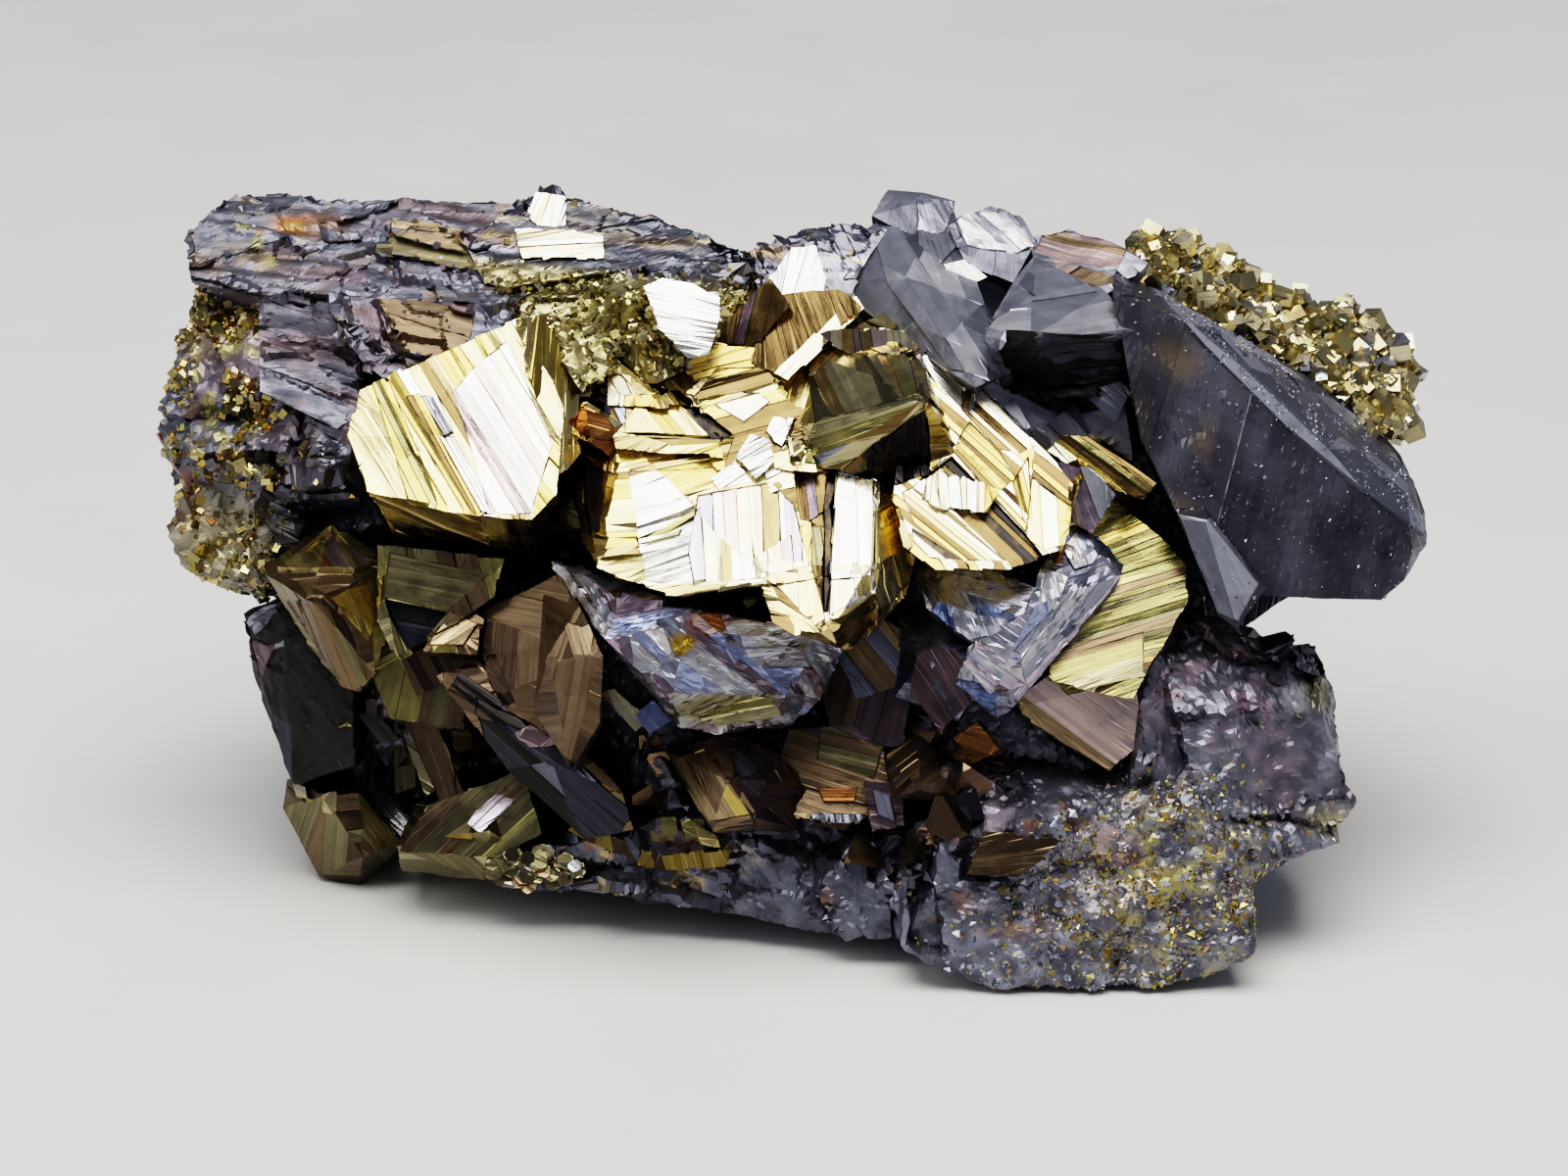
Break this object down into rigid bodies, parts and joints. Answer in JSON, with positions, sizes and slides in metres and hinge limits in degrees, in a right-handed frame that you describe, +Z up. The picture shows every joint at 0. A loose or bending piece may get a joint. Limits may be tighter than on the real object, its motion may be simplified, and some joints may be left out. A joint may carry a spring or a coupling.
{
  "type": "chalcopyrite crystal cluster",
  "caption": "Free-standing mineral specimen: brassy, striated and tarnished chalcopyrite crystals grown on a lump of dark ore.",
  "frame": {"origin": "middle of the specimen's box, on the surface that it stands on", "axes": "+X to the right along the specimen's length, +Y away from the viewer, +Z up"},
  "size_m": [0.0919, 0.053, 0.0508],
  "materials": {
    "bright_brass": "bright striated crystal face with pink and violet tarnish",
    "olive_gold": "finely lined olive gold crystal face",
    "pyrite": "bright small cubes",
    "bronze": "brown tarnished crystal face",
    "blue_tarnish": "periwinkle and silver tarnish",
    "rainbow_tarnish": "lilac, red and cyan tarnish over grey",
    "slate": "satin grey tarnish",
    "charcoal": "satin near-black tarnish",
    "rusty_slate": "rough grey with rust patches",
    "ore": "rough dark ore with brassy grains"
  },
  "bodies": {
    "root": {"bright_crystals": "bright_brass", "blue_crystals": "blue_tarnish", "gold_plate": "olive_gold", "charcoal_crystal": "charcoal", "slate_crystals": "slate", "rainbow_crystal": "rainbow_tarnish", "bronze_plate": "bronze", "fin_crystals": "bronze", "lower_block": "olive_gold", "foot_crystal": "olive_gold", "left_dark_crystal": "charcoal", "lower_crystals": "bronze", "crest": "olive_gold", "tarnished_slab": "rusty_slate", "pyrite_crust": "pyrite", "back_crystals": "bronze", "back_wedges": "slate", "ore": "ore"}
  },
  "joints": []
}
